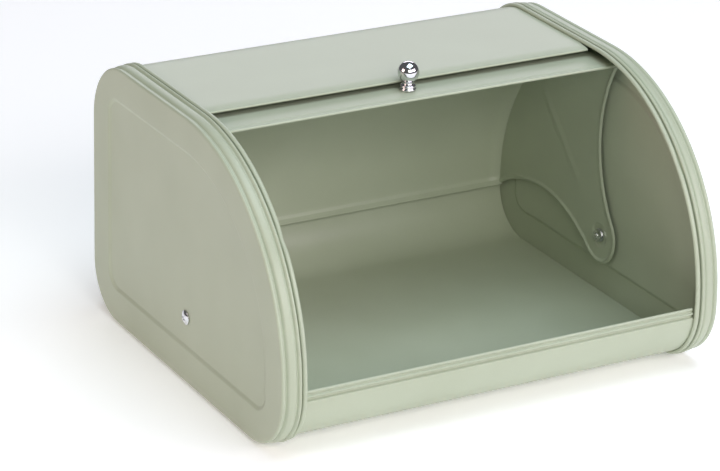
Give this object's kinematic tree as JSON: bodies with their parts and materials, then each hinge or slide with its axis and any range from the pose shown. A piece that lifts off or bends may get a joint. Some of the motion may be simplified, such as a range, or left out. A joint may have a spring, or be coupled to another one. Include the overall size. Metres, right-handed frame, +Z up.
{
  "type": "bread box with roll top",
  "caption": "Sheet-steel bread box with pressed end caps and a curved lid that swings back inside the body on two side arms, lifted by a ball knob.",
  "frame": {"origin": "centre of the bounding box in plan, on the table that the feet stand on, with the lid open", "axes": "+X along the width to the user's right, -Y towards the user and the mouth, +Z up"},
  "size_m": [0.3064, 0.26, 0.1857],
  "materials": {
    "painted_steel": "sage green powder coat, satin",
    "polished_chrome": "polished chrome plate",
    "zinc_plate": "bright zinc plate",
    "nylon": "natural moulded nylon",
    "rubber": "matt moulded rubber"
  },
  "bodies": {
    "box": {"body_shell": "painted_steel", "end_cap_left": "painted_steel", "end_cap_right": "painted_steel", "pivot_screw_left": "polished_chrome", "pivot_screw_right": "polished_chrome", "pivot_bush_left": "nylon", "pivot_bush_right": "nylon", "pivot_washer_left": "zinc_plate", "pivot_washer_right": "zinc_plate", "pivot_nut_left": "polished_chrome", "pivot_nut_right": "polished_chrome", "foot_front_left": "rubber", "foot_front_right": "rubber", "foot_back_left": "rubber", "foot_back_right": "rubber"},
    "lid": {"lid_sheet": "painted_steel", "lid_arm_left": "painted_steel", "lid_arm_right": "painted_steel", "knob": "polished_chrome", "knob_screw": "zinc_plate", "knob_washer": "zinc_plate"}
  },
  "joints": [
    {"name": "lid_roll", "type": "hinge", "parent": "box", "child": "lid", "pos_m": [0, -0.0015, 0.0438], "axis": [1, 0, 0], "range_deg": [0, 83]}
  ]
}
